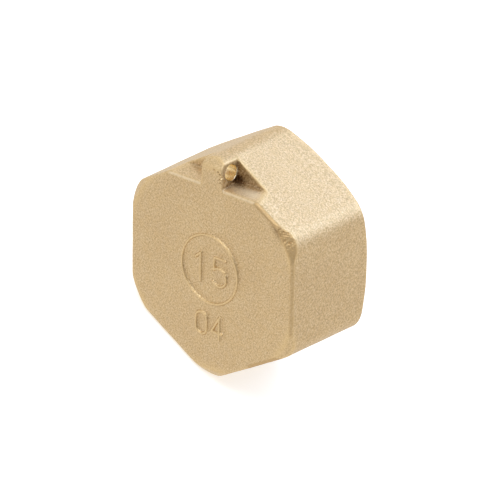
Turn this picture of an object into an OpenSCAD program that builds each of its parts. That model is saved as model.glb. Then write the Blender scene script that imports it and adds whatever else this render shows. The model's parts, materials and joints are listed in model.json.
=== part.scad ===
// Hexagonal blanking cap for a parallel pipe thread, with an eye for a sealing wire.
// The thread axis is +Y, out of the open mouth, and the cap lies on one flat with +Z up.
// The origin is on the thread axis, where the full thread begins.

/* [Hexagon] */
// Distance across the flats, at the closed face
across_flats = 25; // [24:0.1:36]
// Draft of each flat in degrees, wider towards the open end
flat_draft = 0.85; // [0.2:0.05:2]
// Radius of the six long corners
corner_r = 2.8; // [1:0.1:4]
// Break along the straight edges of both ends
edge_break = 0.4; // [0.1:0.05:0.8]
// How far the flat of the closed face reaches past the flats, towards each corner
face_land = 0.5; // [0.2:0.1:1]
// Slope of the corner bevels at the closed face, in degrees
face_bevel = 40; // [20:1:50]
// How far the flat of the open rim reaches past the flats, towards each corner
rim_land = 0.3; // [0.2:0.1:1]
// Slope of the corner bevels at the open rim, in degrees
rim_bevel = 29; // [15:1:40]

/* [Thread] */
// Major diameter of the internal pipe thread
thread_major = 20.955; // [12:0.001:21.4]
// Pitch of the thread
thread_pitch = 1.814; // [0.9:0.001:2.31]
// Length of the threaded wall, from the full thread to the relief
thread_len = 6.4; // [5:0.1:16]
// Depth of the 45 degree chamfer at the mouth
mouth_chamfer = 1.2; // [0.4:0.1:1.5]
// How much deeper than the thread the relief behind it is cut
relief_depth = 0.17; // [0.05:0.01:0.3]

/* [Seal ring] */
// Thickness of the seal ring
seal_thick = 2; // [1:0.1:4]
// Width of the seal ring, from its bore to its outer edge
seal_width = 4; // [1.5:0.1:5]
// Chamfer on the four edges of the seal ring
seal_chamfer = 0.2; // [0.05:0.05:0.4]
// Radial clearance of the seal ring in the relief
seal_play = 0.1; // [0.05:0.01:0.3]
// Gap between the seal ring and the end wall
seat_gap = 0.05; // [0.02:0.01:0.2]
// Free length of the relief in front of the seal ring
seal_room = 0.35; // [0.2:0.05:1]

/* [Wire eye] */
// Width of the web that is left on the corner, at its foot
web_width = 3.4; // [2.4:0.1:5]
// Diameter of the hole for the sealing wire
wire_hole = 2; // [1:0.1:2.4]
// Wall between the closed face and the wire hole
hole_front_wall = 0.65; // [0.4:0.05:1]
// Height of the wire hole above the pocket floor
hole_foot = 0.75; // [0.3:0.05:1]
// Gap between the wire hole and the back wall of the pockets
hole_back_gap = 0.1; // [0.05:0.05:0.5]
// How deep the pocket floor lies below the radius of the flats
pocket_sink = 2; // [1:0.1:2.5]
// Fall of the pocket floor away from the web, in degrees
floor_fall = 0.5; // [0:0.5:6]
// Rise of the pocket floor towards the back, in degrees
floor_rise = 10; // [0:1:12]
// Lean of the pocket's back wall, in degrees
back_lean = 4; // [0:1:15]
// Draft of the web's two sides, in degrees
web_draft = 3; // [0:0.5:6]
// Wall between the pockets and the thread relief
pocket_wall = 0.65; // [0.5:0.05:2]

/* [Hidden] */
$fn = 96;

// The form of a parallel pipe thread: its depth and its cut-off crest, as shares of the pitch
DEPTH_SHARE = 0.640327;
CREST_SHARE = 1 / 6;
FLANK_ANGLE = 27.5;
// How far a cutting tool runs past the faces that it cuts
CUT = 1;
// Overlap by which the corner cylinders cross the flats, where they would only touch
CORNER_OVERLAP = 0.02;
// Where the corner with the eye points: degrees from +X towards +Z
EYE_ANGLE = 120;

major_r = thread_major / 2;
minor_r = major_r - DEPTH_SHARE * thread_pitch;
crest_w = thread_pitch * CREST_SHARE;
groove_count = ceil((thread_len - crest_w) / thread_pitch);
relief_r = major_r + relief_depth;
relief_len = seat_gap + seal_thick + seal_room;
relief_y = -thread_len;
seat_y = relief_y - relief_len;

half_flats = across_flats / 2;
pocket_depth = hole_front_wall + wire_hole + hole_back_gap;
end_wall = pocket_depth + pocket_wall;
height = end_wall + relief_len + thread_len + mouth_chamfer;
face_y = mouth_chamfer - height;

// A corner's edge leans by the draft of the two flats that meet there
corner_lean = atan(tan(flat_draft) / cos(30));
corner_centre = (half_flats - corner_r / cos(flat_draft)) / cos(30);
corner_chord = corner_centre + corner_r * cos(30);
reach = across_flats * 0.8;

// Radius of the pocket floor, and the wire hole's radius and depth behind the closed face
floor_u = half_flats - pocket_sink;
hole_u = floor_u + hole_foot + wire_hole / 2;
hole_w = hole_front_wall + wire_hole / 2;

brass = [0.80, 0.69, 0.53];
rubber = [0.09, 0.09, 0.10];

// Turns a shape drawn from the closed face up +Z, with the eye on +X, into the part's frame
module from_face() {
    translate([0, face_y, 0])
        rotate([-90, 0, 0])
        rotate([0, 0, -EYE_ANGLE])
        children();
}

// Turns an outline of [radius, y] points about the thread axis
module turned(points) {
    rotate([-90, 0, 0]) rotate_extrude() polygon(points);
}

// Everything outside one flat, with the breaks at its two ends
module flat_cutter() {
    rim_flats = half_flats + height * tan(flat_draft);
    translate([half_flats, -reach, 0])
        rotate([0, flat_draft, 0])
        translate([0, 0, -CUT])
        cube([reach, 2 * reach, height + 3 * CUT]);
    translate([half_flats - edge_break, -reach, 0])
        rotate([0, 45, 0])
        translate([0, 0, -reach])
        cube([reach, 2 * reach, 2 * reach]);
    translate([rim_flats - edge_break, -reach, height])
        rotate([0, 45, 0])
        translate([-reach, 0, 0])
        cube([2 * reach, 2 * reach, reach]);
}

// Everything outside the rounding of one long corner
module corner_cutter() {
    difference() {
        translate([corner_chord, -corner_r, 0])
            rotate([0, corner_lean, 0])
            translate([0, 0, -CUT])
            cube([reach, 2 * corner_r, height + 3 * CUT]);
        translate([corner_centre, 0, 0])
            rotate([0, corner_lean, 0])
            translate([0, 0, -2 * CUT])
            cylinder(h = height + 5 * CUT, r = corner_r + CORNER_OVERLAP);
    }
}

// A round blank with both ends bevelled, so that only the corners of the hexagon lose their tips
module bevelled_blank() {
    face_r = half_flats + face_land;
    rim_r = half_flats + rim_land;
    blank_r = half_flats / cos(30) + CUT;
    rotate_extrude() polygon([
        [0, 0],
        [face_r, 0],
        [blank_r, (blank_r - face_r) * tan(face_bevel)],
        [blank_r, height - (blank_r - rim_r) * tan(rim_bevel)],
        [rim_r, height],
        [0, height]
    ]);
}

module hexagon() {
    difference() {
        bevelled_blank();
        for (corner = [0:5]) {
            rotate([0, 0, corner * 60]) corner_cutter();
            rotate([0, 0, corner * 60 + 30]) flat_cutter();
        }
    }
}

// The pocket beside the web, open to the closed face and to the flat
module eye_pocket() {
    foot_v = web_width / 2;
    intersection() {
        translate([floor_u, 0, 0])
            rotate([0, floor_rise, 0])
            translate([0, 0, -CUT])
            linear_extrude(height = reach)
            polygon([
                [0, foot_v],
                [-reach * tan(floor_fall), foot_v + reach],
                [reach, foot_v + reach],
                [reach, foot_v - reach * tan(web_draft)]
            ]);
        translate([hole_u, -reach, pocket_depth])
            rotate([0, -back_lean, 0])
            translate([-reach, 0, -reach])
            cube([2 * reach, 3 * reach, reach]);
    }
}

module wire_eye() {
    eye_pocket();
    mirror([0, 1, 0]) eye_pocket();
    translate([hole_u, 0, hole_w])
        rotate([90, 0, 0])
        cylinder(h = across_flats, r = wire_hole / 2, center = true);
}

// One ring groove of the thread's own profile, with its crest at y = top
module thread_groove(top) {
    middle = top - thread_pitch / 2;
    inner_r = minor_r - CUT;
    root = crest_w / 2;
    mouth = root + (major_r - inner_r) * tan(FLANK_ANGLE);
    turned([
        [inner_r, middle - mouth],
        [major_r, middle - root],
        [major_r, middle + root],
        [inner_r, middle + mouth]
    ]);
}

module threaded_cavity() {
    turned([
        [0, seat_y],
        [relief_r, seat_y],
        [relief_r, relief_y],
        [minor_r, relief_y],
        [minor_r, 0],
        [minor_r + mouth_chamfer + CUT, mouth_chamfer + CUT],
        [0, mouth_chamfer + CUT]
    ]);
    for (turn = [0:groove_count - 1]) {
        thread_groove(-crest_w / 2 - turn * thread_pitch);
    }
}

module cap_body() {
    color(brass) difference() {
        from_face() difference() {
            hexagon();
            wire_eye();
        }
        threaded_cavity();
    }
}

module seal_ring() {
    back = seat_y + seat_gap;
    front = back + seal_thick;
    outer = relief_r - seal_play;
    inner = outer - seal_width;
    color(rubber) turned([
        [inner + seal_chamfer, back],
        [outer - seal_chamfer, back],
        [outer, back + seal_chamfer],
        [outer, front - seal_chamfer],
        [outer - seal_chamfer, front],
        [inner + seal_chamfer, front],
        [inner, front - seal_chamfer],
        [inner, back + seal_chamfer]
    ]);
}

cap_body();
seal_ring();
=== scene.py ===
"""The looks of a hexagonal brass pipe cap with a sealing-wire eye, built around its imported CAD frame.

The cap lies on one flat of its hexagon, with the thread axis along Y and the closed face towards -Y.
The forged body is made from a signed distance field, so that its edges have the soft radii of a
forging, and the machined cavity with its helical thread is then cut out of it.
"""

import json
import math
from collections import namedtuple

import bpy
import numpy as np
import openvdb
from mathutils import Matrix, Vector


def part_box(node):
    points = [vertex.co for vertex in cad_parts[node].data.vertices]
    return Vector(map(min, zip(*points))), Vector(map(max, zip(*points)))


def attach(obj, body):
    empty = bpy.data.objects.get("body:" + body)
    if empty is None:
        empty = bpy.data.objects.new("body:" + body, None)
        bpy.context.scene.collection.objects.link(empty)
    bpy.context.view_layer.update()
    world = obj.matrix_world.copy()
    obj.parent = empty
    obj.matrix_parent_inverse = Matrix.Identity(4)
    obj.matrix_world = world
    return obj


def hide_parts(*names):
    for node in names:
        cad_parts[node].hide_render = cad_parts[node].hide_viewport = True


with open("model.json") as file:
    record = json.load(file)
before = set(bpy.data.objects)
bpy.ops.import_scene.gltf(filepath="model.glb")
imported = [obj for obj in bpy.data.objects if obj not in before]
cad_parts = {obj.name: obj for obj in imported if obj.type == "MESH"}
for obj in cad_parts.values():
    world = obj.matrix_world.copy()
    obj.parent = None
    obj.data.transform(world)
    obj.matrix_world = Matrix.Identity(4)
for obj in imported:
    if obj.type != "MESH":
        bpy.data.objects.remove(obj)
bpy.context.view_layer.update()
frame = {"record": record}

# ------------------------------------------------------------------------------------------
# Sizes, in millimetres. Those that the frame holds come from it.
# ------------------------------------------------------------------------------------------
MM = 0.001
BODY_LOW, BODY_HIGH = (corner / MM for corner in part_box("cap_body"))
RING_LOW, RING_HIGH = (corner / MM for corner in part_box("seal_ring"))
MOUNTS = {mount["name"]: mount for mount in frame["record"]["mounts"]}

FACE_Y = BODY_LOW.y
RIM_Y = BODY_HIGH.y
HEIGHT = RIM_Y - FACE_Y

# The hexagon, and the two cones that cut its corners: LAND is how far past the flats each starts
HALF_FLATS = 12.5
DRAFT = math.radians(0.85)
CORNER_R = 2.8
FACE_LAND = 0.5
FACE_CONE_R = HALF_FLATS + FACE_LAND
FACE_BEVEL = math.radians(40)
RIM_LAND = 0.3
RIM_CONE_R = HALF_FLATS + RIM_LAND
RIM_BEVEL = math.radians(29)

# Edge breaks, and the radii that soften the forging's edges
EDGE_BREAK = 0.3
EDGE_BREAK_R = 0.12
POCKET_BREAK = 0.2
FACE_EDGE_R = 0.1
FACE_CONE_EDGE_R = 0.1
RIM_EDGE_R = 0.14

# The wire eye. u points from the axis to the corner with the eye, v runs across it, w is the
# depth behind the closed face.
EYE_ANGLE = math.radians(120)
EYE_POS = Vector(MOUNTS["wire_eye"]["pos_m"]) / MM
HOLE_R = MOUNTS["wire_eye"]["dims"]["r_mm"]
HOLE_U = EYE_POS.x * math.cos(EYE_ANGLE) + EYE_POS.z * math.sin(EYE_ANGLE)
HOLE_W = EYE_POS.y - FACE_Y
HOLE_BACK_GAP = 0.1
POCKET_SINK = 2
FLOOR_U = HALF_FLATS - POCKET_SINK
FLOOR_FALL = math.radians(0.5)
FLOOR_RISE = math.radians(10)
WEB_HALF = 1.7
WEB_DRAFT = math.radians(3)
BACK_LEAN = math.radians(4)
POCKET_DEPTH = HOLE_W + HOLE_R + HOLE_BACK_GAP
POCKET_ROOT_R = 0.16
POCKET_EDGE_R = 0.16
HOLE_EDGE_R = 0.07

# The forged skin's waviness
WAVE_HEIGHT = 0.014
RIPPLE_HEIGHT = 0.007

# The corner next to the eye, which the trimming tool tore: (u, v), reach, and the roughness as
# plane waves of random direction, with their shortest and longest as radians for a millimetre
ROUGH_AT = (8.0, 11.2)
ROUGH_REACH = 2.8
TORN_WAVES = 26
TORN_LONGEST = 8
TORN_SHORTEST = 26
TORN_DEPTH = 0.01
TORN_CUT = 0.007
TORN_SEED = 4

# Small pits in the thin metal in front of the wire hole: (u, v, radius)
PITS = (
    (11.35, 1.42, 0.12),
    (11.75, 1.28, 0.1),
    (12.05, 1.5, 0.14),
    (12.4, 1.3, 0.1),
    (12.62, 1.02, 0.12),
    (12.75, 0.4, 0.1),
)
PIT_DEPTH = 0.16
PITS_UNTIL = 1

# Sampling of the body's distance field
FINE_STEP = 0.058
COARSE_STEP = 0.13
FIELD_MARGIN = 0.5
BAND_STEPS = 4
SLAB = 24
FLAT_MERGE = 0.01

# Plain numbers on the closed face, where the mark stands on the real one
SIZE_MARK = "15"
SIZE_MARK_HEIGHT = 3.6
DIE_MARK = "04"
DIE_MARK_HEIGHT = 2.8
DIE_MARK_CENTRE = -7.2
MARK_RING_R = 4.3
MARK_HEIGHT = 0.24
MARK_HALF_WIDTH = 0.16
MARK_SQUARENESS = 6
MARK_LEAST = 0.001
DIGIT_WIDTH = 0.6
DIGIT_ADVANCE = 0.84
FAR_AWAY = 1e3

# The thread and the space behind it
PITCH = 1.814
MINOR_R = MOUNTS["thread"]["dims"]["r_mm"]
THREAD_DEPTH = 0.640327 * PITCH
THREAD_ROUND = 0.137329 * PITCH
FLANK = math.radians(27.5)
THREAD_END_Y = -6.4
RELIEF_CLEARANCE = 0.17
RELIEF_R = MINOR_R + THREAD_DEPTH + RELIEF_CLEARANCE
SEAT_Y = -8.8
SEAT_FILLET = 0.18

# Sampling of the cavity's cutter, and how far its rows keep from the edges of each surface
CAVITY_COLUMNS = 200
WALL_ROWS = 16
WALL_CLEAR = 0.2
FILLET_ROWS = 6
RELIEF_ROWS = 5
RELIEF_CLEAR_SEAT = 0.4
RELIEF_CLEAR_THREAD = 0.1
THREAD_ROW = 0.062
CUTTER_CORE_R = 0.5
CUTTER_PAST_RIM = 0.55

# The seal ring and the mould line round its middle
SEAL_WIDTH = 4.0
SEAL_EDGE_R = 0.3
SEAL_COLUMNS = 160
MOULD_LINE_DEPTH = 0.03
MOULD_LINE_HALF = 0.06

# ------------------------------------------------------------------------------------------
# Wear, scraped metal and painted light and shade of the forged skin. Reaches are in millimetres, and
# strengths go from 0 to 1, or to 2 for the deepest painted shade of a recess.
# ------------------------------------------------------------------------------------------
# Which faces are turned, and which lie in the wire hole
TURNED_SKIN = 0.09
HOLE_SKIN = 0.03
HOLE_REACH = 2

# Paler edges, partly wear and partly a painted highlight, and how deep the painted highlight on the
# raised numbers goes
WEAR_AND_HIGHLIGHT_REACH = 0.5
MARK_TOP = 0.3

# The pockets' painted shade and painted light, and the painted highlight on their front edges
POCKET_SKIN = 0.25
POCKET_FADE = 0.4
CREASE_REACH = 0.5
CREASE_REACH_LEFT = 0.24
CREASE_FADE = 0.8
WALL_REACH = 0.2
WALL_SHADE = 0.75
CORNER_REACH = 1.1
CORNER_SHADE = 1.7
SLIT_REACH = 0.16
SLIT_SHADE = 1.8
SLIT_SPAN = 0.3
FLOOR_REACH = 0.15
FLOOR_CLEAR_BACK = 0.3
FLOOR_CLEAR_FRONT = 0.2
FLOOR_PAINTED_LIGHT = 0.6
BREAK_SKIN = 0.05
BREAK_CORE = 1.6
BREAK_HIGHLIGHT = 0.35

# The trimmed edge round the closed face, with painted shade on it: where it starts across the eye, and
# where it gets paler
TRIM_REACH = 0.08
TRIM_CORE = 1.5
TRIM_DEPTH = 0.5
TRIM_FROM_V = 6
TRIM_PALE_FROM_V = 11
TRIM_SHADE = 0.85
TRIM_PALE_SHADE = 0.5
TRIM_PAINTED_SHADE = 0.85

# The scraped metal of the torn corner, and the darker patch above it
SCRAPED_AT = (7.2, 12.4)
SCRAPED_REACH = 3.6
SCRAPED_SKIN = 0.12
DARK_PATCH_AT = (8.3, 10.4)
DARK_PATCH_REACH = 1.3
DARK_PATCH_SKIN = 0.1
DARK_PATCH_EDGE = 0.45
DARK_PATCH_CORE = 1.4
SKIN_SLACK = 0.02

SMOOTH_BELOW = math.radians(28)

# ------------------------------------------------------------------------------------------
# Materials
# ------------------------------------------------------------------------------------------


class Nodes:
    """A short way to build the nodes of a material or of the world."""

    def __init__(self, owner, output="ShaderNodeOutputMaterial"):
        self.owner = owner
        owner.use_nodes = True
        self.tree = owner.node_tree
        self.tree.nodes.clear()
        self.output = self.add(output)

    def fill(self, socket, value):
        if isinstance(value, bpy.types.NodeSocket):
            self.tree.links.new(value, socket)
        else:
            socket.default_value = value

    def add(self, kind, inputs=None, **settings):
        node = self.tree.nodes.new(kind)
        for key, value in settings.items():
            setattr(node, key, value)
        for key, value in (inputs or {}).items():
            self.fill(node.inputs[key], value)
        return node

    def place(self):
        return self.add("ShaderNodeTexCoord").outputs["Object"]

    def noise(self, scale, detail, roughness, coords):
        inputs = {"Scale": scale, "Detail": detail, "Roughness": roughness, "Vector": coords}
        return self.add("ShaderNodeTexNoise", inputs).outputs["Fac"]

    def ramp(self, value, low, high, from_low=0.3, from_high=0.7):
        inputs = {
            "Value": value,
            "From Min": from_low,
            "From Max": from_high,
            "To Min": low,
            "To Max": high,
        }
        return self.add("ShaderNodeMapRange", inputs).outputs["Result"]

    def mix(self, factor, first, second):
        node = self.add("ShaderNodeMix", data_type="RGBA", blend_type="MIX")
        for socket, value in ((0, factor), (6, first), (7, second)):
            self.fill(node.inputs[socket], value)
        return node.outputs[2]

    def math(self, operation, first, second):
        inputs = {0: first, 1: second}
        return self.add("ShaderNodeMath", inputs, operation=operation).outputs[0]

    def attribute(self, name):
        settings = {"attribute_name": name, "attribute_type": "GEOMETRY"}
        return self.add("ShaderNodeAttribute", **settings).outputs["Fac"]

    def bump(self, height, distance, strength):
        inputs = {"Height": height, "Distance": distance, "Strength": strength}
        return self.add("ShaderNodeBump", inputs).outputs["Normal"]

    def surface(self, colour, roughness, normal, metallic):
        inputs = {
            "Base Color": colour,
            "Metallic": metallic,
            "Roughness": roughness,
            "Normal": normal,
        }
        return self.finish(self.add("ShaderNodeBsdfPrincipled", inputs))

    def finish(self, shader):
        self.tree.links.new(shader.outputs[0], self.output.inputs["Surface"])
        return self.owner


def srgb(red, green, blue):
    """The linear colour of an sRGB colour given from 0 to 255."""

    def linear(value):
        value /= 255
        return value / 12.92 if value <= 0.04045 else ((value + 0.055) / 1.055) ** 2.4

    return (linear(red), linear(green), linear(blue), 1.0)


def blasted_brass():
    """Forged brass after shot blasting: matt, pale, with a fine sparkling grain.

    The mesh says where its edges are worn, where it was scraped, and where it is dark or pale.
    """
    m = Nodes(bpy.data.materials.new("blasted_brass"))
    place = m.place()
    grain = m.noise(8500, 2, 0.6, place)
    pits = m.noise(5000, 3, 0.65, place)
    patches = m.noise(160, 3, 0.5, place)
    mottle = m.noise(1600, 2, 0.5, place)
    colour = m.mix(m.ramp(patches, 0, 1), srgb(223, 196, 153), srgb(215, 187, 145))
    colour = m.mix(m.ramp(mottle, 0, 0.5), colour, srgb(218, 186, 134))
    colour = m.mix(m.ramp(pits, 0.5, 0, 0.36, 0.52), colour, srgb(156, 128, 88))
    colour = m.mix(m.ramp(pits, 0, 0.5, 0.52, 0.68), colour, srgb(246, 226, 190))
    # Paler edges: partly wear, partly a painted highlight on edges, raised numbers and the pockets'
    # front edges
    colour = m.mix(m.ramp(m.attribute("edge"), 0, 0.5, 0, 1), colour, srgb(236, 206, 152))
    # Painted light on the right pocket's floor, and a painted highlight along the pockets' front edges
    colour = m.mix(m.attribute("pale"), colour, srgb(250, 234, 206))
    # Painted shade in the pockets and along part of the trimmed edge, and the darker patch at the torn
    # corner: speckled, then darkest deep in the pockets
    painted_shade = m.attribute("painted_shade")
    speckled = m.math("MULTIPLY", painted_shade, m.ramp(pits, 1.0, 0.5, 0.4, 0.6))
    colour = m.mix(m.ramp(speckled, 0, 1, 0, 1), colour, srgb(120, 88, 54))
    colour = m.mix(m.ramp(painted_shade, 0, 1, 1, 2), colour, srgb(76, 50, 30))
    # Scraped metal of the torn corner, and painted shade along the trimmed edge
    scraped = m.math("MULTIPLY", m.attribute("torn"), m.ramp(pits, 1.0, 0.6, 0.35, 0.65))
    colour = m.mix(scraped, colour, srgb(216, 182, 130))
    height = m.math("ADD", m.math("MULTIPLY", pits, 0.8), grain)
    return m.surface(colour, m.ramp(grain, 0.4, 0.56), m.bump(height, 0.00004, 1.0), 1.0)


def machined_brass():
    """Turned brass in the cavity and on the rim: brighter, with fine turning lines about the axis."""
    m = Nodes(bpy.data.materials.new("machined_brass"))
    place = m.place()
    split = m.add("ShaderNodeSeparateXYZ", {0: place})
    across = m.add("ShaderNodeCombineXYZ", {0: split.outputs[0], 2: split.outputs[2]})
    radius = m.add("ShaderNodeVectorMath", {0: across.outputs[0]}, operation="LENGTH")
    radius_and_depth = {0: radius.outputs["Value"], 1: split.outputs[1]}
    lines_at = m.add("ShaderNodeCombineXYZ", radius_and_depth).outputs[0]
    lines = m.noise(2800, 4, 0.7, lines_at)
    smear = m.noise(260, 3, 0.6, place)
    colour = m.mix(m.ramp(smear, 0, 1), srgb(222, 190, 128), srgb(210, 175, 112))
    colour = m.mix(m.ramp(lines, 0, 0.5), colour, srgb(196, 160, 98))
    return m.surface(colour, m.ramp(smear, 0.22, 0.34), m.bump(lines, 0.00002, 0.8), 1.0)


def drilled_brass():
    """The wall of the wire hole: bright drilled brass, made paler still as painted light, with faint
    tool marks.
    """
    m = Nodes(bpy.data.materials.new("drilled_brass"))
    wave = m.noise(2600, 2, 0.6, m.place())
    colour = m.mix(m.ramp(wave, 0, 1), srgb(253, 240, 210), srgb(246, 226, 188))
    return m.surface(colour, m.ramp(wave, 0.2, 0.3), m.bump(wave, 0.00002, 0.5), 1.0)


def seal_rubber():
    """Black moulded rubber with a faint bloom."""
    m = Nodes(bpy.data.materials.new("seal_rubber"))
    place = m.place()
    grain = m.noise(3800, 3, 0.6, place)
    bloom = m.noise(240, 4, 0.6, place)
    colour = m.mix(m.ramp(bloom, 0, 1), srgb(38, 38, 40), srgb(56, 56, 58))
    return m.surface(colour, m.ramp(bloom, 0.42, 0.6), m.bump(grain, 0.00002, 0.5), 0.0)


# ------------------------------------------------------------------------------------------
# The forged body as a distance field, in millimetres and in the part's frame
# ------------------------------------------------------------------------------------------
Parts = namedtuple("Parts", "sides face face_cone rim_cone rim pocket pocket_break hole")


def both(first, second, radius):
    """Distance to what lies in both shapes, with its edge rounded."""
    over = np.hypot(np.maximum(first + radius, 0), np.maximum(second + radius, 0))
    return np.minimum(np.maximum(first, second), -radius) + over


def near(distance, reach):
    """1 at a surface or beyond it, falling to 0 at a reach below it."""
    return np.clip(1 + distance / reach, 0, 1)


def grown(distance, reach):
    """0 up to a surface, rising to 1 at a reach past it."""
    return np.clip(distance / reach, 0, 1)


def eye_axes(x, y, z):
    """(u, v, w) of points given in the part's frame."""
    u = x * math.cos(EYE_ANGLE) + z * math.sin(EYE_ANGLE)
    v = x * math.sin(EYE_ANGLE) - z * math.cos(EYE_ANGLE)
    return u, v, y - FACE_Y


def hexagon(u, v, half):
    """Distance to a hexagon with corners on the u axis, in its plane."""
    slope_u, slope_v = -math.sqrt(3) / 2, 0.5
    u, v = np.abs(u), np.abs(v)
    side = 2 * np.minimum(slope_u * u + slope_v * v, 0)
    u, v = u - side * slope_u, v - side * slope_v
    along = u - np.clip(u, -half / math.sqrt(3), half / math.sqrt(3))
    return np.hypot(along, v - half) * np.sign(v - half)


def unevenness(x, y, z):
    """The slight waviness of a forged skin: a slow wave and a faster ripple."""
    wave = np.sin(0.83 * x + 0.41 * z + 1.3) * np.sin(0.72 * y - 0.55 * x)
    ripple = np.sin(1.9 * z - 1.1 * y + 0.6) * np.sin(1.6 * x + 0.9 * z)
    return WAVE_HEIGHT * wave + RIPPLE_HEIGHT * ripple


def stroke(across, up, path):
    """Distance from points of the closed face to a line of straight pieces."""
    nearest = np.full_like(across, FAR_AWAY)
    for (a, b), (c, d) in zip(path, path[1:]):
        length = math.hypot(c - a, d - b)
        ahead = ((across - a) * (c - a) + (up - b) * (d - b)) / length
        ahead = np.clip(ahead, 0, length)
        aside = across - a - ahead * (c - a) / length
        above = up - b - ahead * (d - b) / length
        nearest = np.minimum(nearest, np.hypot(aside, above))
    return nearest


def arc(centre, radius, start, end, steps=14):
    """Points along an arc, with angles in degrees."""
    turns = [math.radians(start + (end - start) * i / steps) for i in range(steps + 1)]
    return [
        (centre[0] + radius * math.cos(t), centre[1] + radius * math.sin(t))
        for t in turns
    ]


def digit_paths():
    """The strokes of plain digits in a box 0.6 wide and 1 high, from its lower left corner."""
    loop = arc((0.3, 0.7), 0.3, 0, 180) + arc((0.3, 0.3), 0.3, 180, 360)
    five = [(0.56, 1.0), (0.1, 1.0), (0.06, 0.56)]
    five += arc((0.28, 0.33), 0.32, 122, -140)
    return {
        "0": [loop + loop[:1]],
        "1": [[(0.12, 0.8), (0.34, 1.0), (0.34, 0.0)]],
        "4": [[(0.46, 0.0), (0.46, 1.0), (0.02, 0.28), (0.6, 0.28)]],
        "5": [five],
    }


def number_distance(across, up, text, height, centre_up):
    """Distance to a plain number, centred across the face at a height on it."""
    digits = digit_paths()
    advance = DIGIT_ADVANCE * height
    start = -(advance * (len(text) - 1) + DIGIT_WIDTH * height) / 2
    low = centre_up - height / 2
    nearest = np.full_like(across, FAR_AWAY)
    for index, character in enumerate(text):
        left = start + index * advance
        for path in digits[character]:
            placed = [(left + a * height, low + b * height) for a, b in path]
            nearest = np.minimum(nearest, stroke(across, up, placed))
    return nearest


def mark_height(u, v):
    """Height of the numbers and the ring that stand up from the closed face."""
    ring = np.abs(np.hypot(u, v) - MARK_RING_R)
    size_mark = number_distance(v, u, SIZE_MARK, SIZE_MARK_HEIGHT, 0)
    die_mark = number_distance(v, u, DIE_MARK, DIE_MARK_HEIGHT, DIE_MARK_CENTRE)
    nearest = np.minimum(np.minimum(ring, size_mark), die_mark)
    height = MARK_HEIGHT / (1 + (nearest / MARK_HALF_WIDTH) ** MARK_SQUARENESS)
    return np.where(height > MARK_LEAST, height, 0)


def raised_marks(x, y, z):
    """The height of the marks over a block of samples. It's the same at every depth."""
    u, v, _ = eye_axes(x, y, z)
    return mark_height(u[:, 0, :], v[:, 0, :])[:, None, :]


def forged_parts(x, y, z):
    """The distances of the body's surfaces, before they are joined."""
    u, v, w = eye_axes(x, y, z)
    rho = np.hypot(u, v)
    half = HALF_FLATS + w * math.tan(DRAFT)
    sides = (hexagon(u, v, half - CORNER_R) - CORNER_R) * math.cos(DRAFT)
    face_cone = (rho - FACE_CONE_R) * math.sin(FACE_BEVEL) - w * math.cos(FACE_BEVEL)
    rim_cone = (rho - RIM_CONE_R) * math.sin(RIM_BEVEL)
    rim_cone += (w - HEIGHT) * math.cos(RIM_BEVEL)
    floor = FLOOR_U + w * math.tan(FLOOR_RISE)
    floor -= np.maximum(np.abs(v) - WEB_HALF, 0) * math.tan(FLOOR_FALL)
    web = WEB_HALF - (u - FLOOR_U) * math.tan(WEB_DRAFT) - np.abs(v)
    back = (w - POCKET_DEPTH) * math.cos(BACK_LEAN) - (u - HOLE_U) * math.sin(BACK_LEAN)
    pocket = both(both(floor - u, web, POCKET_ROOT_R), back, POCKET_ROOT_R)
    floor_break = (floor - u + w - POCKET_BREAK) * math.sqrt(0.5)
    pocket_break = both(floor_break, web, POCKET_ROOT_R)
    hole = np.hypot(u - HOLE_U, w - HOLE_W) - HOLE_R
    return Parts(sides, -w, face_cone, rim_cone, w - HEIGHT, pocket, pocket_break, hole)


def torn(x, y, z):
    """The rough skin that the trimming tool left on one corner of the closed face."""
    u, v, _ = eye_axes(x, y, z)
    away = np.hypot(u - ROUGH_AT[0], v - ROUGH_AT[1])
    nearness = near(-away, ROUGH_REACH)
    here = nearness > 0
    random = np.random.default_rng(TORN_SEED)
    waves = np.zeros(np.count_nonzero(here))
    for _ in range(TORN_WAVES):
        direction = random.normal(size=3)
        direction *= random.uniform(TORN_LONGEST, TORN_SHORTEST) / np.linalg.norm(direction)
        turn = direction[0] * x[here] + direction[1] * y[here] + direction[2] * z[here]
        waves += np.sin(turn + random.uniform(0, 2 * math.pi))
    depth = np.zeros(nearness.shape)
    depth[here] = nearness[here] * (TORN_DEPTH * waves + TORN_CUT * np.abs(waves))
    return depth


def pitting(x, y, z):
    """Depth of the small pits in the thin metal in front of the wire hole."""
    u, v, w = eye_axes(x, y, z)
    depth = np.zeros_like(u)
    for at_u, at_v, size in PITS:
        away = np.hypot(u - at_u, v - at_v) / size
        depth = np.maximum(depth, PIT_DEPTH * np.exp(-(away**4)))
    return depth * (w < PITS_UNTIL)


def forged_distance(x, y, z):
    """Distance to the forged body, without its cavity."""
    parts = forged_parts(x, y, z)
    waves = unevenness(x, y, z)
    sides = parts.sides + waves
    face = parts.face + pitting(x, y, z) + waves - raised_marks(x, y, z)
    face_cone = parts.face_cone + torn(x, y, z) + waves
    solid = both(sides, face, FACE_EDGE_R)
    broken_edge = (sides + face) * math.sqrt(0.5) + EDGE_BREAK * math.sqrt(0.5)
    solid = both(solid, broken_edge, EDGE_BREAK_R)
    solid = both(solid, face_cone, FACE_CONE_EDGE_R)
    solid = both(solid, -parts.pocket, POCKET_EDGE_R)
    solid = both(solid, -parts.pocket_break, POCKET_EDGE_R)
    solid = both(solid, parts.rim_cone, RIM_EDGE_R)
    solid = both(solid, parts.rim, RIM_EDGE_R)
    return both(solid, -parts.hole, HOLE_EDGE_R)


def forged_distance_at(x, y, z):
    """The same distance at separate points instead of a block of them."""
    return forged_distance(x[:, None, None], y[:, None, None], z[:, None, None])[:, 0, 0]


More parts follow.
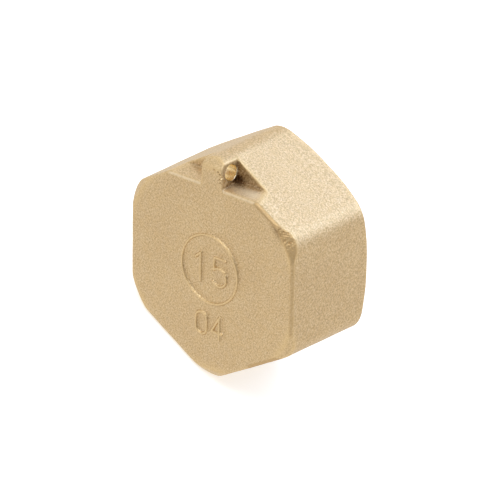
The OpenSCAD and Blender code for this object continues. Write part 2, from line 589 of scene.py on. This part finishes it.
def steps_along(low, high, fine_to):
    """Sample places along an axis: fine up to a place, and coarse beyond it."""
    fine = np.arange(low, fine_to, FINE_STEP, dtype=np.float32)
    return np.append(fine, np.arange(fine[-1] + COARSE_STEP, high, COARSE_STEP, np.float32))


def field_mesh(name, distance, axes):
    """A closed mesh of a distance field, in metres, from OpenVDB's polygoniser."""
    values = np.empty([len(axis) for axis in axes], np.float32)
    for start in range(0, len(axes[0]), SLAB):
        x, y, z = np.meshgrid(axes[0][start : start + SLAB], *axes[1:], indexing="ij")
        values[start : start + SLAB] = distance(x, y, z)
    band = BAND_STEPS * FINE_STEP
    grid = openvdb.FloatGrid(band)
    grid.gridClass = openvdb.GridClass.LEVEL_SET
    grid.copyFromArray(np.clip(values, -band, band))
    found, triangles, quads = grid.convertToPolygons(isovalue=0, adaptivity=FLAT_MERGE)
    points = [np.interp(found[:, i], np.arange(len(axes[i])), axes[i]) for i in range(3)]
    faces = [tuple(face[::-1]) for face in quads.tolist() + triangles.tolist()]
    mesh = bpy.data.meshes.new(name)
    mesh.from_pydata((np.stack(points, 1) * MM).tolist(), [], faces)
    mesh.update()
    return mesh


def normals_of(distance, points, step=0.01):
    """Outward directions of a distance field at points in millimetres."""
    found = np.empty_like(points)
    for axis in range(3):
        ahead, behind = points.copy(), points.copy()
        ahead[:, axis] += step
        behind[:, axis] -= step
        found[:, axis] = distance(*ahead.T) - distance(*behind.T)
    return found / np.maximum(np.linalg.norm(found, axis=1, keepdims=True), 1e-9)


# ------------------------------------------------------------------------------------------
# Turned shapes
# ------------------------------------------------------------------------------------------


def turns_of(columns):
    """The angles of the columns of a turned shape."""
    return np.linspace(0, 2 * math.pi, columns, endpoint=False)


def spun(profile, turns):
    """Rings of points about the thread axis, one for each (radius, y) of a profile."""
    return [[(r * math.sin(t), y, r * math.cos(t)) for t in turns] for r, y in profile]


def grid_mesh(name, rings, closed_profile=False):
    """A mesh from rings of points. Open ends are closed with a fan."""
    count = len(rings[0])
    points = [tuple(MM * value for value in point) for ring in rings for point in ring]
    faces = []
    last = len(rings) if closed_profile else len(rings) - 1
    for row in range(last):
        below, above = row * count, (row + 1) % len(rings) * count
        for column in range(count):
            after = (column + 1) % count
            faces.append((below + column, below + after, above + after, above + column))
    if not closed_profile:
        for row, turned in ((0, False), (len(rings) - 1, True)):
            middle = len(points)
            points.append((0, MM * rings[row][0][1], 0))
            start = row * count
            for column in range(count):
                pair = (start + column, start + (column + 1) % count)
                faces.append((middle,) + (pair if turned else pair[::-1]))
    mesh = bpy.data.meshes.new(name)
    mesh.from_pydata(points, [], faces)
    mesh.update()
    return mesh


def groove_depth(axial):
    """Depth of the thread's groove below its crest, at a distance along the axis in turns."""
    half = PITCH / 2
    away = np.abs((axial % 1) - 0.5) * PITCH
    straight = THREAD_ROUND * math.cos(FLANK)
    root = THREAD_DEPTH - THREAD_ROUND
    root += np.sqrt(np.maximum(THREAD_ROUND**2 - np.minimum(away, straight) ** 2, 0))
    beyond = half - away
    crest = THREAD_ROUND - np.sqrt(
        np.maximum(THREAD_ROUND**2 - np.minimum(beyond, straight) ** 2, 0)
    )
    flank_top = THREAD_DEPTH - THREAD_ROUND * (1 - math.sin(FLANK))
    flank = flank_top - (away - straight) / math.tan(FLANK)
    depth = np.where(away < straight, root, flank)
    return np.where(beyond < straight, crest, depth)


def cavity_mesh():
    """The cutter for the cavity: end wall, relief, right-hand helical thread and mouth."""
    wall_to = RELIEF_R - SEAT_FILLET - WALL_CLEAR
    profile = [(r, SEAT_Y) for r in np.linspace(CUTTER_CORE_R, wall_to, WALL_ROWS)]
    for t in np.linspace(0, math.pi / 2, FILLET_ROWS):
        radius = RELIEF_R - SEAT_FILLET * (1 - math.sin(t))
        profile.append((radius, SEAT_Y + SEAT_FILLET * (1 - math.cos(t))))
    relief_from = SEAT_Y + RELIEF_CLEAR_SEAT
    relief_to = THREAD_END_Y - RELIEF_CLEAR_THREAD
    profile += [(RELIEF_R, y) for y in np.linspace(relief_from, relief_to, RELIEF_ROWS)]
    turns = turns_of(CAVITY_COLUMNS)
    rings = spun(profile, turns)
    for y in np.arange(THREAD_END_Y, RIM_Y + CUTTER_PAST_RIM, THREAD_ROW):
        radius = MINOR_R + groove_depth(y / PITCH - turns / (2 * math.pi))
        radius = np.maximum(radius, MINOR_R + y)
        rings.append([(r * math.sin(t), y, r * math.cos(t)) for r, t in zip(radius, turns)])
    return grid_mesh("cavity_cutter", rings)


def mould_line(radius, middle, outwards):
    """The (radius, y) points of a fine ridge. outwards is 1 on the ring's outside and -1 in its bore."""
    foot = radius - outwards * MOULD_LINE_DEPTH
    rise = outwards * MOULD_LINE_HALF
    return [(foot, middle - rise), (radius, middle), (foot, middle + rise)]


def ring_mesh():
    """The seal ring, with rounded edges and a fine mould line round its middle."""
    inner, outer = RING_HIGH.x - SEAL_WIDTH, RING_HIGH.x
    low, high = RING_LOW.y, RING_HIGH.y
    middle = (low + high) / 2
    soft = SEAL_EDGE_R
    corners = (
        (outer - soft, low + soft, -90, mould_line(outer, middle, 1)),
        (outer - soft, high - soft, 0, []),
        (inner + soft, high - soft, 90, mould_line(inner, middle, -1)),
        (inner + soft, low + soft, 180, []),
    )
    profile = []
    for centre_r, centre_y, start, ridge in corners:
        profile += arc((centre_r, centre_y), soft, start, start + 90, 6) + ridge
    rings = spun(profile, turns_of(SEAL_COLUMNS))
    return grid_mesh("seal_ring_rubber", rings, closed_profile=True)


# ------------------------------------------------------------------------------------------
# Wear, scraped metal and painted light and shade of the forged skin
# ------------------------------------------------------------------------------------------


def band(distance, width, core):
    """1 along a band about a surface, falling to 0 outside it. A larger core makes more of it 1."""
    return np.clip(core - np.abs(distance) / width, 0, 1)


def worn_and_highlit_edges(parts):
    """How near points are to an edge of the forging, which is paler there: partly wear, partly a painted
    highlight.
    """
    surfaces = [parts.sides, parts.face, parts.face_cone, parts.rim_cone, -parts.pocket]
    return near(np.sort(np.array(surfaces), axis=0)[-2], WEAR_AND_HIGHLIGHT_REACH)


def trimmed_and_shaded_edge(parts, v):
    """The strip along the closed face's broken edge where the flash was cut off, with painted shade on
    it.
    """
    broken = (parts.sides + parts.face + EDGE_BREAK) * math.sqrt(0.5)
    strip = band(broken, TRIM_REACH, TRIM_CORE) * (parts.face > -TRIM_DEPTH)
    dark = np.where(v > TRIM_FROM_V, TRIM_SHADE, 0)
    return strip * np.where(v > TRIM_PALE_FROM_V, TRIM_PALE_SHADE, dark)


def scraped_corner(parts, u, v):
    """The scraped metal of the torn corner, strongest in its middle."""
    away = np.hypot(u - SCRAPED_AT[0], v - SCRAPED_AT[1]) / SCRAPED_REACH
    return near(parts.face_cone + SKIN_SLACK, SCRAPED_SKIN) * np.clip(2 - 2 * away, 0, 1)


def dark_patch_at_corner(parts, u, v):
    """Darker where the closed face meets the torn corner."""
    away = (u - DARK_PATCH_AT[0]) ** 2 + (v - DARK_PATCH_AT[1]) ** 2
    on_skin = near(np.maximum(parts.face, parts.face_cone) + SKIN_SLACK, DARK_PATCH_SKIN)
    on_edge = band(parts.face - parts.face_cone, DARK_PATCH_EDGE, DARK_PATCH_CORE)
    return np.exp(-away / DARK_PATCH_REACH**2) * on_skin * on_edge


def pocket_edge_highlight(parts, w):
    """A painted highlight along the pockets' front edges."""
    strip = band(parts.pocket_break, BREAK_SKIN, BREAK_CORE)
    strip *= grown(w, BREAK_SKIN) * grown(POCKET_BREAK + BREAK_SKIN - w, BREAK_SKIN)
    return strip * BREAK_HIGHLIGHT


def pocket_shade(u, v, w, parts):
    """Painted shade of the pockets (up to 2 in the deepest corner), and painted light on the floor."""
    floor = FLOOR_U + w * math.tan(FLOOR_RISE) - u
    web = WEB_HALF - np.abs(v)
    back = w - POCKET_DEPTH
    right, left = v > 0, v < 0
    inside = (np.abs(parts.pocket) < POCKET_SKIN) * grown(-parts.sides, POCKET_FADE)
    second = np.sort(np.array([floor, web, back]), axis=0)[1]
    crease = near(second, np.where(right, CREASE_REACH, CREASE_REACH_LEFT))
    crease *= grown(w, CREASE_FADE)
    wall = WALL_SHADE * right * near(back, WALL_REACH)
    from_corner = floor**2 + web**2 / 2 + back**2
    corner = CORNER_SHADE * right * np.exp(-from_corner / CORNER_REACH**2)
    in_slit = left * (back > -SLIT_SPAN) * (web < -SLIT_SPAN)
    slit = SLIT_SHADE * in_slit * near(second, SLIT_REACH)
    dark = np.maximum(np.maximum(crease, wall), np.maximum(corner, slit))
    # Painted light on the right pocket's floor, where the back wall shades it
    on_floor = near(floor, FLOOR_REACH) * grown(-back - FLOOR_CLEAR_BACK, 1)
    pale = FLOOR_PAINTED_LIGHT * right * on_floor * grown(w - FLOOR_CLEAR_FRONT, 1)
    return inside * dark, inside * pale


def skin_shades(points):
    """Wear, scraping and painted light and shade for the forged brass, at points in millimetres."""
    parts = forged_parts(*points.T)
    u, v, w = eye_axes(*points.T)
    trim_and_shade = trimmed_and_shaded_edge(parts, v)
    trim_painted_shade = trim_and_shade * (v < TRIM_PALE_FROM_V) * TRIM_PAINTED_SHADE
    # Painted highlight on the raised numbers and ring
    mark_highlight = mark_height(u, v) / MARK_HEIGHT * (w < MARK_TOP)
    edge_highlight = pocket_edge_highlight(parts, w)
    painted_shade, pale = pocket_shade(u, v, w, parts)
    edge = np.maximum(worn_and_highlit_edges(parts) * (1 - trim_and_shade), mark_highlight)
    painted_shade = np.maximum(painted_shade, trim_painted_shade)
    # The values: wear with painted highlights, scraped metal with painted shade on the trimmed edge,
    # painted shade with the darker patch at the torn corner, and painted light
    return {
        "edge": np.maximum(edge, edge_highlight),
        "torn": np.maximum(scraped_corner(parts, u, v), trim_and_shade),
        "painted_shade": np.maximum(painted_shade, dark_patch_at_corner(parts, u, v)),
        "pale": np.maximum(pale, edge_highlight),
    }


# ------------------------------------------------------------------------------------------
# Pieces
# ------------------------------------------------------------------------------------------
FORGED, TURNED, DRILLED = 0, 1, 2


def add_object(name, mesh):
    piece = bpy.data.objects.new(name, mesh)
    bpy.context.scene.collection.objects.link(piece)
    return piece


def read(rows, name, size=1, kind=np.float32):
    """One value of each row of a mesh's vertices, loops or faces."""
    values = np.empty(len(rows) * size, kind)
    rows.foreach_get(name, values)
    return values.reshape(-1, size) if size > 1 else values


def cut_cavity(body):
    """Subtracts the cavity and keeps a material index of its own on the cut faces."""
    cutter = add_object("cavity_cutter", cavity_mesh())
    for material in (FORGED, TURNED):
        cutter.data.materials.append(body.data.materials[material])
    cutter.data.polygons.foreach_set("material_index", [TURNED] * len(cutter.data.polygons))
    cut = body.modifiers.new("cavity", "BOOLEAN")
    cut.operation = "DIFFERENCE"
    cut.solver = "EXACT"
    cut.object = cutter
    depsgraph = bpy.context.evaluated_depsgraph_get()
    result = bpy.data.meshes.new_from_object(body.evaluated_get(depsgraph))
    body.modifiers.clear()
    body.data = result
    bpy.data.objects.remove(cutter)


def set_finishes(mesh):
    """Marks the faces that are turned or lie in the wire hole, and returns every face's finish."""
    centres = read(mesh.polygons, "center", 3) / MM
    parts = forged_parts(*centres.T)
    finish = read(mesh.polygons, "material_index", kind=np.int32)
    turned = np.maximum(parts.rim_cone, parts.rim) > -TURNED_SKIN
    finish[(finish == FORGED) & turned] = TURNED
    drilled = (parts.hole < HOLE_SKIN) & (np.abs(centres[:, 1] - EYE_POS.y) < HOLE_REACH)
    finish[(finish == FORGED) & drilled] = DRILLED
    mesh.polygons.foreach_set("material_index", finish)
    return finish


def set_normals(mesh, points, finish):
    """Smooths the mesh, and takes the forged skin's normals from the distance field itself."""
    mesh.polygons.foreach_set("use_smooth", [True] * len(mesh.polygons))
    mesh.set_sharp_from_angle(angle=SMOOTH_BELOW)
    directions = normals_of(forged_distance_at, points)
    vertex = read(mesh.loops, "vertex_index", kind=np.int32)
    totals = read(mesh.polygons, "loop_total", kind=np.int32)
    forged_loops = np.repeat(finish != TURNED, totals)
    loops = np.zeros((len(mesh.loops), 3))
    loops[forged_loops] = directions[vertex[forged_loops]]
    mesh.normals_split_custom_set(loops.tolist())
    mesh.update()


def finish_body(mesh):
    """Sets the finish of each face, the wear and painted light and shade of the skin, and the normals.
    """
    finish = set_finishes(mesh)
    points = read(mesh.vertices, "co", 3).astype(np.float64) / MM
    for name, values in skin_shades(points).items():
        shade = mesh.attributes.new(name, "FLOAT", "POINT")
        shade.data.foreach_set("value", values.astype(np.float32))
    set_normals(mesh, points, finish)


def make_body():
    margin = Vector((FIELD_MARGIN, FIELD_MARGIN, FIELD_MARGIN))
    low = BODY_LOW - margin
    high = BODY_HIGH + margin
    axes = (
        steps_along(low.x, high.x, high.x),
        steps_along(low.y, high.y, FACE_Y + POCKET_DEPTH + FIELD_MARGIN),
        steps_along(low.z, high.z, high.z),
    )
    mesh = field_mesh("cap_body_forged", forged_distance, axes)
    for material in (blasted_brass(), machined_brass(), drilled_brass()):
        mesh.materials.append(material)
    body = add_object("cap_body_forged", mesh)
    cut_cavity(body)
    finish_body(body.data)
    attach(body, "cap")
    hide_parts("cap_body")


def make_seal():
    mesh = ring_mesh()
    mesh.materials.append(seal_rubber())
    mesh.polygons.foreach_set("use_smooth", [True] * len(mesh.polygons))
    seal = add_object("seal_ring_rubber", mesh)
    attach(seal, "seal")
    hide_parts("seal_ring")


# ------------------------------------------------------------------------------------------
# Studio, in metres. The camera looks at AIM, which is close to the middle of the cap.
# ------------------------------------------------------------------------------------------
AIM = Vector((0.032, -5.273, 0.223)) * MM
VIEW_AZIMUTH = math.radians(23.643)
VIEW_ELEVATION = math.radians(41.169)
VIEW_ROLL = math.radians(31.305)
VIEW_DISTANCE = 0.529
LENS = 324
SENSOR = 36
CLIP = (0.01, 20)

WHITE = (1, 1, 1, 1)
PAPER_HALF = 1.5
PAPER_COLOUR = (0.86, 0.84, 0.80, 1)
PAPER_COLOUR_PALE = (0.84, 0.82, 0.78, 1)
PAPER_GLOW = 0.5
PAPER_MIRRORED = 1.0
ROOM_LIGHT = 0.82
DARK_SIDE = (0.5, -0.85, 0.15)
DARK_OUTER = math.radians(62)
DARK_INNER = math.radians(25)
DARK_LIGHT = 0.3

# Each lamp's name, place, size, power and colour. They all point at the origin.
LAMPS = (
    ("zenith", (-0.28, -0.4, 0.72), (0.5, 0.4), 2.4, (0.88, 0.97, 1.1)),
    ("overhead", (0.02, 0.62, 0.58), (0.75, 0.5), 2.45, (0.74, 1.0, 1.56)),
    ("back_left", (-0.8, 0.5, 0.3), (0.4, 0.4), 0.35, (0.9, 0.98, 1.1)),
)


def make_camera():
    data = bpy.data.cameras.new("camera")
    data.lens = LENS
    data.sensor_width = SENSOR
    data.clip_start, data.clip_end = CLIP
    camera = add_object("camera", data)
    turned = Matrix.Rotation(VIEW_AZIMUTH, 4, "Z")
    tilted = Matrix.Rotation(math.pi / 2 - VIEW_ELEVATION, 4, "X")
    rolled = Matrix.Rotation(VIEW_ROLL, 4, "Z")
    drawn_back = Matrix.Translation((0, 0, VIEW_DISTANCE))
    camera.matrix_world = Matrix.Translation(AIM) @ turned @ tilted @ rolled @ drawn_back
    bpy.context.scene.camera = camera


def add_lamp(name, place, size, power, colour):
    data = bpy.data.lights.new(name, "AREA")
    data.shape = "RECTANGLE"
    data.size, data.size_y = size
    data.energy = power
    data.color = colour
    lamp = add_object(name, data)
    lamp.location = place
    lamp.rotation_euler = (-Vector(place)).to_track_quat("-Z", "Y").to_euler()
    lamp.visible_camera = False


def floor_paper():
    """Pale paper that glows a little to the camera and looks white in the brass."""
    m = Nodes(bpy.data.materials.new("floor_paper"))
    grain = m.noise(300, 3, 0.5, m.place())
    colour = m.mix(m.ramp(grain, 0, 1), PAPER_COLOUR, PAPER_COLOUR_PALE)
    paper = m.add("ShaderNodeBsdfDiffuse", {"Color": colour}).outputs[0]
    glow = m.add("ShaderNodeEmission", {"Color": WHITE, "Strength": PAPER_GLOW})
    white = m.add("ShaderNodeEmission", {"Color": WHITE, "Strength": PAPER_MIRRORED})
    lit = m.add("ShaderNodeAddShader", {0: paper, 1: glow.outputs[0]}).outputs[0]
    path = m.add("ShaderNodeLightPath").outputs
    seen = m.add("ShaderNodeMixShader", {0: path["Is Camera Ray"], 1: paper, 2: lit})
    mirrored = {0: path["Is Glossy Ray"], 1: seen.outputs[0], 2: white.outputs[0]}
    return m.finish(m.add("ShaderNodeMixShader", mirrored))


def make_floor():
    level = BODY_LOW.z * MM
    corners = ((-1, -1), (1, -1), (1, 1), (-1, 1))
    points = [(x * PAPER_HALF, y * PAPER_HALF, level) for x, y in corners]
    mesh = bpy.data.meshes.new("floor")
    mesh.from_pydata(points, [], [(0, 1, 2, 3)])
    mesh.materials.append(floor_paper())
    add_object("floor", mesh)


def make_world():
    """A white room whose front side, where the camera stands, is darker."""
    world = bpy.data.worlds.new("studio")
    bpy.context.scene.world = world
    m = Nodes(world, "ShaderNodeOutputWorld")
    direction = m.add("ShaderNodeTexCoord").outputs["Generated"]
    ends = {0: direction, 1: Vector(DARK_SIDE).normalized()}
    towards = m.add("ShaderNodeVectorMath", ends, operation="DOT_PRODUCT")
    fall = {
        "Value": towards.outputs["Value"],
        "From Min": math.cos(DARK_OUTER),
        "From Max": math.cos(DARK_INNER),
        "To Min": ROOM_LIGHT,
        "To Max": DARK_LIGHT,
    }
    darker = m.add("ShaderNodeMapRange", fall, interpolation_type="SMOOTHSTEP")
    room = {"Color": WHITE, "Strength": darker.outputs["Result"]}
    light = m.add("ShaderNodeBackground", room).outputs[0]
    seen = m.add("ShaderNodeBackground", {"Color": WHITE, "Strength": 1}).outputs[0]
    camera_ray = m.add("ShaderNodeLightPath").outputs["Is Camera Ray"]
    m.finish(m.add("ShaderNodeMixShader", {0: camera_ray, 1: light, 2: seen}))


make_body()
make_seal()
make_floor()
make_world()
make_camera()
for lamp in LAMPS:
    add_lamp(*lamp)
bpy.context.scene.view_settings.view_transform = "Standard"
